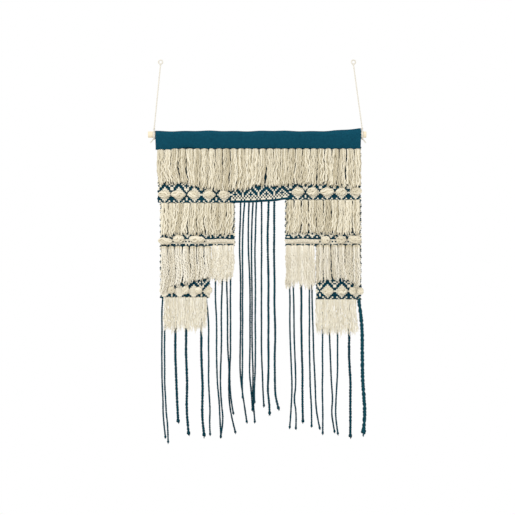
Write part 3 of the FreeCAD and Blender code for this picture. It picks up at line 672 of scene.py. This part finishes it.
# ---------------------------------------------------------------- header
def make_header(material):
    """Cloth folded over the rod and sewn to itself below, a little slack over the rod's right end."""
    x = np.linspace(-0.305, 0.305, 489)
    rise = 0.0008 * np.sin(x * 31) + 0.0006 * np.sin(x * 83 + 1) + 0.0075 * np.clip((x - 0.20) / 0.10, 0, 1) ** 1.6
    hem = profile(x, [(-305, -265), (-256, -264), (-235, -261), (-220, -258), (-203, -258), (-185, -261),
                      (120, -260), (255, -262), (305, -263)]) + 0.0005 * np.sin(x * 57)
    bore, cloth, axis_z = 0.0098, 0.0012, -0.220
    arc = np.radians(np.linspace(0, 186, 40))
    sections = []
    for offset in (bore + cloth, bore):
        back_y = offset
        front_y, hem_y = -offset, (0.0068 if offset > bore else 0.0080)
        drop = np.linspace(0, 1, 30)[1:]
        up = np.linspace(0, 1, 22)[:-1]
        y = np.concatenate([np.full(21, back_y), offset * np.cos(arc), front_y + (hem_y - front_y) * drop ** 1.25])
        z_unit = np.concatenate([np.zeros(21), np.sin(arc), np.zeros(29)])
        share = np.concatenate([1 - up, np.zeros(40), drop])
        z = axis_z + offset * z_unit[None] + rise[:, None] * np.clip(z_unit, 0, 1)[None]
        z = z + (hem - axis_z)[:, None] * share[None]
        y = y[None] + 0.0004 * np.sin(x * 120)[:, None] * np.sin(math.pi * share)[None] * (offset > bore)
        sections.append(np.stack([np.repeat(x[:, None], z.shape[1], 1), np.broadcast_to(y, z.shape), z], -1))
    outer, inner = sections
    loop = np.concatenate([outer, inner[:, ::-1]], axis=1)
    count, around = loop.shape[:2]
    index = np.arange(count * around).reshape(count, around)
    after = np.roll(index, -1, axis=1)
    quads = np.stack([index[:-1], index[1:], after[1:], after[:-1]], -1).reshape(-1, 4)
    half = around // 2
    ends = []
    for ring, flip in ((index[0], 1), (index[-1], -1)):
        a, b = ring[:half], ring[half:][::-1]
        ends.append(np.stack([a[:-1], a[1:], b[1:], b[:-1]], -1)[:, ::flip])
    piece = new_piece("header_sleeve_cloth", loop.reshape(-1, 3), [quads, ends[0], ends[1]], [material],
                      np.full(count * around, 0.5))
    claim(piece, "header_sleeve", "textile")


# ---------------------------------------------------------------- fringes
def row_centres(left, right, length=0.017, pitch=0.0217):
    count = int((right - left - length) // pitch) + 1
    first = (left + right - (count - 1) * pitch) / 2
    return first + pitch * np.arange(count)


def hanging_yarns(rng, centres, half, across, layers, top, bottom, radius, rings, sway, group=0.0085, lean=-0.15,
                  crimp=0.0, wave=0.006, ragged=0.0045, start_y=0.0088, shoulder=0.0045, flare=0.04):
    """Yarns in tassels: out of the cloth, over the rounded shoulder of the knot and down. Returns paths and radii."""
    u = (np.arange(across) + 0.5) / across * 2 - 1
    middle, offset, depth = [grid.ravel() for grid in np.meshgrid(centres, u, layers, indexing="ij")]
    count = len(middle)
    offset = np.clip(offset + rng.normal(0, 0.25 / across, count), -1, 1)
    start = top(middle) - shoulder * (1 - np.sqrt(1 - 0.96 * offset ** 2))
    stop = bottom(middle + half * offset) + rng.normal(0, ragged, count)
    depth = depth + rng.normal(0, 0.0003, count)
    arch, arc_rings = 0.0050, 10
    turn = np.linspace(0, math.pi / 2, arc_rings)[None, :]
    fall = np.linspace(0, 1, rings - arc_rings + 1)[None, 1:]
    z = np.concatenate([start[:, None] - arch * (1 - np.cos(turn)),
                        (start - arch)[:, None] + (stop - start + arch)[:, None] * fall], axis=1)
    y = np.concatenate([start_y - (start_y - depth)[:, None] * np.sin(turn),
                        depth[:, None] * np.ones_like(fall)], axis=1)
    share = (start[:, None] - z) / (start - stop)[:, None]
    ramp = np.clip(share * 3, 0, 1)
    tassel = np.repeat(np.arange(len(centres)), across * len(layers))
    together = smooth_noise(rng, len(centres), rings, (0.45, 0.9))
    together = together + rng.normal(lean, 0.65, (len(centres), 1)) * np.linspace(0, 1, rings)
    together = 0.5 * together + 0.25 * np.roll(together, 1, axis=0) + 0.25 * np.roll(together, -1, axis=0)
    bundle = 0.96 + 0.15 * smooth_noise(rng, len(centres), rings, (0.7, 1.5))
    x = middle[:, None] + half * offset[:, None] * (0.95 + flare * share) * bundle[tassel]
    x = x + group * share * together[tassel]
    x = x + sway * ramp * smooth_noise(rng, count, rings, (0.8, 1.9, 4.3))
    y = y + 0.5 * sway * ramp * smooth_noise(rng, count, rings, (0.8, 2.1, 4.0))
    if crimp:
        phase = rng.uniform(0, 2 * math.pi, (count, 1))
        length = wave * rng.uniform(0.8, 1.25, (count, 1))
        x = x + crimp * ramp * np.sin(2 * math.pi * z / length + phase)
        y = y + 0.6 * crimp * ramp * np.cos(2 * math.pi * z / length + 1.3 * phase)
    radii = radius * rng.uniform(0.88, 1.1, (count, 1)) * (1 + 0.07 * smooth_noise(rng, count, rings, (4, 9, 17)))
    radii[:, -3:] *= np.array([0.92, 0.75, 0.4])
    return np.stack([x, y, z], -1), radii


def yarn_looks(rng, count):
    """Each yarn's own twist phase and shade."""
    return rng.uniform(0, 1, (count, 1)), rng.uniform(0, 1, count)


def yarn_tubes(paths, radii, looks, sides, lobes=0, depth=0.0, pitch=0.010):
    phase, shade = looks
    turns = paths[:, :, 2] / pitch + phase if lobes else None
    points, quads, caps, owner = tubes(paths, radii, sides, turns, lobes, depth)
    return points, quads, caps, shade[owner]


def make_knotted_row(node, left, right, top, bottom, material, pieces=1, fine=False, lean=-0.15):
    """One row of tassels: the yarn that hangs below the knots is made here, one piece a group. Returns the knots, for
    the cloth.
    """
    centres = row_centres(left, right)
    rng = np.random.default_rng(sum(map(ord, node)))
    held = []
    for number, group in enumerate(np.array_split(centres, pieces), start=1):
        if fine:
            settings = dict(across=8, layers=[0.0004, 0.0032, 0.0060], radius=0.00128, rings=112, crimp=0.0008,
                            wave=0.0095, sway=0.0018)
            form = dict(sides=5)
        else:
            settings = dict(across=6, layers=[0.0006, 0.0034, 0.0062], radius=0.00180, rings=108, sway=0.0026)
            form = dict(sides=8, lobes=2, depth=0.22, pitch=0.0085)
        paths, radii = hanging_yarns(rng, group, 0.0103, top=top, bottom=bottom, lean=lean, **settings)
        looks = yarn_looks(rng, len(paths))
        points, quads, caps, tint = yarn_tubes(paths[:, 8:], radii[:, 8:], looks, **form)
        yarn = new_piece(f"{node}_yarn_{number}", points, [quads, caps], [material], tint)
        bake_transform(yarn)
        claim(yarn, node)
        held.append(yarn_tubes(paths[:, :11], radii[:, :11] * 1.03, looks, **form))
    return held


def make_knots(name, held, material):
    """The turns of yarn over the cloth, in one piece, running straight on into the yarn that hangs from them."""
    points, groups = gathered(held)
    piece = new_piece(name + "_yarn", points, groups, [material], np.concatenate([part[3] for part in held]))
    claim(piece, name, "textile")


def make_combed_row(node, left, right, edge, bottom, material, crimp):
    """Loose fibre combed out of the cloth's lower edge, spreading a little."""
    rng = np.random.default_rng(sum(map(ord, node)))
    count = int((right - left) / (0.0165 if crimp else 0.0115))
    centres = left + (right - left) * (np.arange(count) + 0.5) / count
    half = (right - left) / count / 2 * (1.0 if crimp else 1.12)
    across, radius, rings, shoulder = (9, 0.00120, 112, 0.0034) if crimp else (6, 0.00090, 84, 0.0008)
    paths, radii = hanging_yarns(rng, centres, half, across, [0.0002, 0.0018, 0.0032], level(edge), bottom, radius,
                                 rings, sway=0.0022, crimp=crimp, wave=0.0095, ragged=0.0075, start_y=0.0094,
                                 shoulder=shoulder, flare=0.12, group=0.005)
    points, quads, caps, tint = yarn_tubes(paths, radii, yarn_looks(rng, len(paths)), sides=5)
    piece = new_piece(node + "_fibre", points, [quads, caps], [material], tint)
    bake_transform(piece)
    claim(piece, node)


# ---------------------------------------------------------------- bobbles and braids
BOBBLES = {
    "bobbles_top": [
        (-298, -262, -397), (-259, -217, -398), (-209, -179, -397), (-161, -128, -398), (-116, -90, -397),
        (103, 136, -388), (145, 175, -389), (184, 225, -388), (231, 261, -389), (276, 308, -388)],
    "bobbles_left": [
        (-298, -256, -536), (-253, -220, -530), (-206, -158, -531),
        (-268, -248, -682), (-226, -206, -682), (-188, -167, -683), (-155, -137, -682)],
    "bobbles_right": [
        (187, 213, -532), (231, 261, -532), (267, 308, -531),
        (195, 222, -684), (237, 264, -685), (271, 290, -684), (295, 313, -685)],
}


def make_bobbles(name, puffs, material):
    """Puffs of unspun roving: a few fat folds round each other, thick in the middle and drawn in at the ends."""
    rng = np.random.default_rng(sum(map(ord, name)))
    sets, shades = [], []
    rings, folds = 54, 6
    s = np.linspace(-1, 1, rings)
    for left, right, z in puffs:
        middle, half = (left + right) / 2 * MM, (right - left) / 2 * MM
        body = (1 - np.abs(s) ** 2.4) ** 0.6
        tall, deep = rng.uniform(0.0066, 0.0086), 0.0036
        spin, lean = rng.uniform(0.5, 1.1) * rng.choice((-1, 1)), rng.uniform(-0.08, 0.08)
        paths, radii = [], []
        for fold in range(folds + 1):
            reach = 0 if fold == folds else 1
            angle = 2 * math.pi * fold / folds + spin * s + 0.45 * smooth_noise(rng, 1, rings, (0.9, 2.3))[0]
            x = middle + half * s * 0.97
            y = 0.0082 - 0.0062 + reach * deep * body * np.sin(angle)
            height = z * MM + reach * tall * body * np.cos(angle) + lean * half * s
            paths.append(np.stack([x, y, height], -1))
            size = 0.0034 * rng.uniform(0.8, 1.15) * (1 + 0.16 * smooth_noise(rng, 1, rings, (2.3, 6.1))[0])
            radii.append(size * (0.16 + 0.84 * body))
        paths, radii = np.array(paths), np.array(radii)
        paths[..., 1] = np.minimum(paths[..., 1], 0.0094 - radii)
        sets.append(tubes(paths, radii, 14, lobes=7, lobe_depth=0.10, turns=np.tile(s * 0.6, (folds + 1, 1)),
                          across=(0, 0, 1)))
        shades += [rng.uniform(0.3, 1) for _ in range(folds + 1)]
    points, quads, caps, owner = joined(sets)
    piece = new_piece(name + "_roving", points, [quads, caps], [material], np.array(shades)[owner])
    claim(piece, name, "textile")


def make_braid(name, left, right, z, material, seed):
    """A thin plait of three cream yarns lying across the cloth."""
    rng = np.random.default_rng(seed)
    x = np.linspace(left, right, int((right - left) / 0.0007))
    paths = []
    for strand in range(3):
        phase = 2 * math.pi * (x / 0.0135 + strand / 3)
        paths.append(np.stack([x, 0.0050 + 0.0019 * np.sin(2 * phase),
                               z + 0.0040 * np.sin(phase) + 0.0014 * np.sin(x * 70 + seed)], -1))
    paths = np.array(paths)
    radii = np.full(paths.shape[:2], 0.0018) * (1 + 0.05 * smooth_noise(rng, 3, len(x), (7, 19)))
    radii[:, [0, -1]] *= 0.5
    points, quads, caps, owner = tubes(paths, radii, 8, across=(0, 0, 1))
    piece = new_piece(name, points, [quads, caps], [material], np.array([0.1, 0.9, 0.5])[owner])
    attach(piece, "textile")
    return piece


# ---------------------------------------------------------------- hangers
def make_hanger(side, sign, loop_x, material):
    """Hitch round the rod, taut cord, and the small tied loop that goes on the hook."""
    rng = np.random.default_rng(40 + sign)
    hitch_x, rod_z, diameter = sign * 0.309, -0.220, 0.003
    top = np.array([hitch_x, 0, -0.2028])
    end = np.array([loop_x, 0, -0.012])
    line = top + (end - top) * np.linspace(0, 1, 220)[:, None]
    points, quads, caps, owner = laid_strands(line, diameter, LAY, rng)
    cord = new_piece(side + "_hanging_cord_line", points, [quads, caps], [material], 0.4 + 0.4 * owner)

    angle = np.linspace(-math.pi / 2, 1.5 * math.pi, 90)
    ring = np.stack([loop_x + 0.006 * np.cos(angle), 0 * angle, -0.0045 + 0.006 * np.sin(angle)], -1)
    points, groups = gathered([laid_strands(ring, diameter, LAY, rng),
                               end_knot(end, (0, 0, 1), diameter, rng, strands=0)])
    loop = new_piece(side + "_loop_cord", points, groups, [material], np.full(len(points), 0.5))

    sweep = np.linspace(0, 4 * math.pi, 150)
    turns = np.stack([hitch_x + 0.0016 * np.cos(sweep / 4), 0.0106 * np.sin(sweep),
                      rod_z + 0.0106 * np.cos(sweep)], -1)
    out = np.array([sign * 0.62, -0.1, -0.78])
    out /= np.linalg.norm(out)
    under = np.array([hitch_x, 0, rod_z - 0.0121])
    tail = under + np.linspace(0, 0.017, 26)[:, None] * out
    tail[:, 0] += sign * 0.0012 * np.sin(np.linspace(0, 3, 26))
    points, groups = gathered([laid_strands(turns, diameter, LAY, rng),
                               laid_strands(tail, diameter, LAY, rng, taper_end=True),
                               end_knot(top, (0, 0, 1), diameter * 1.1, rng, strands=0),
                               end_knot(under, out, diameter * 1.1, rng, strands=0)])
    hitch = new_piece(side + "_hitch_cord", points, groups, [material], np.full(len(points), 0.5))
    for piece, node in ((cord, "_hanging_cord"), (loop, "_loop"), (hitch, "_hitch")):
        claim(piece, side + node, "hanger")


# ---------------------------------------------------------------- build
make_camera()
make_studio()
make_floor(floor_material())
teal_cord = yarn_material("teal_cord", (0.0030, 0.0360, 0.0580), (0.0080, 0.0720, 0.1020), fibre=1200, sheen=0.0,
                          gloss=0.05)
hanging_cord = yarn_material("hanging_cord", (0.72, 0.69, 0.62), (0.86, 0.83, 0.76), fibre=1500)
make_warp_cords(teal_cord)
for side, sign, loop_x in (("left", -1, -0.290), ("right", 1, 0.283)):
    make_hanger(side, sign, loop_x, hanging_cord)

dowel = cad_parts["dowel"]
dowel.data.materials.clear()
dowel.data.materials.append(pine_material())

make_header(twill_material("teal_twill"))
ground = yarn_material("teal_weft", (0.0025, 0.0300, 0.0540), (0.0070, 0.0600, 0.0920), fibre=1400, sheen=0.0,
                       gloss=0.05)
figure = yarn_material("cream_weft", (0.78, 0.72, 0.58), (0.95, 0.91, 0.79), fibre=1400)
cloths = {name: make_weave(name, [ground, figure]) for name in WEAVES}
braid_yarn = yarn_material("braid_yarn", (0.74, 0.68, 0.55), (0.90, 0.85, 0.74))
left_braid = make_braid("left_leg_braid", -0.152, -0.070, -0.536, braid_yarn, 3)
right_braid = make_braid("right_leg_braid", 0.083, 0.181, -0.536, braid_yarn, 5)

cream = yarn_material("cream_yarn", (0.56, 0.50, 0.36), (0.95, 0.90, 0.76))
pale = yarn_material("pale_yarn", (0.72, 0.66, 0.52), (1.0, 0.97, 0.88), fibre=1300)
fibre = yarn_material("combed_fibre", (0.80, 0.74, 0.59), (1.0, 0.97, 0.87), fibre=1500)
roving = yarn_material("cream_roving", (0.60, 0.54, 0.40), (0.91, 0.85, 0.70), fibre=900)


def tier_one_top(x):
    return profile(x, [(-301, -264.5), (-262, -264.5), (-255, -262), (306, -262)])


def tier_one_ends(x):
    return profile(x, [(-300, -368), (-277, -361), (-217, -362), (-113, -383), (-39, -383), (-9, -370), (65, -369),
                       (94, -364), (184, -364), (258, -372), (306, -370)])


def left_third_ends(x):
    return profile(x, [(-291, -686), (-262, -678), (-240, -665), (-190, -651), (-146, -642), (-120, -650),
                       (-90, -648), (-71, -634)])


def right_third_ends(x):
    return profile(x, [(82, -668), (110, -656), (150, -668), (172, -660), (190, -652), (250, -648), (285, -662),
                       (308, -678)])


top_held = make_knotted_row("fringe_top", -0.301, 0.306, tier_one_top,
                            tier_one_ends, cream, pieces=6)
make_knots("knot_row_top", top_held, cream)
left_held = make_knotted_row("fringe_left_second", -0.291, -0.070,
                             level(-0.4235), level(-0.513), cream, pieces=2, lean=-0.6)
left_held += make_knotted_row("fringe_left_third", -0.291, -0.139,
                              level(-0.5515), left_third_ends, pale, fine=True)
right_held = make_knotted_row("fringe_right_second", 0.081, 0.307,
                              level(-0.4145), level(-0.511), cream, pieces=2)
right_held += make_knotted_row("fringe_right_third", 0.167, 0.308,
                               level(-0.5475), right_third_ends, pale, fine=True)
make_knots("knot_rows_left", left_held, cream)
make_knots("knot_rows_right", right_held, cream)
make_combed_row("fringe_left_inner", -0.1385, -0.071, -0.5485, left_third_ends, pale, 0.0009)
make_combed_row("fringe_right_inner", 0.082, 0.1675, -0.5485, right_third_ends, pale, 0.0009)
make_combed_row("fringe_left_fourth", -0.281, -0.153, -0.7035, level(-0.794), fibre, 0.0)
make_combed_row("fringe_right_fourth", 0.170, 0.292, -0.7095, level(-0.805), fibre, 0.0)
for name, puffs in BOBBLES.items():
    make_bobbles(name, puffs, roving)
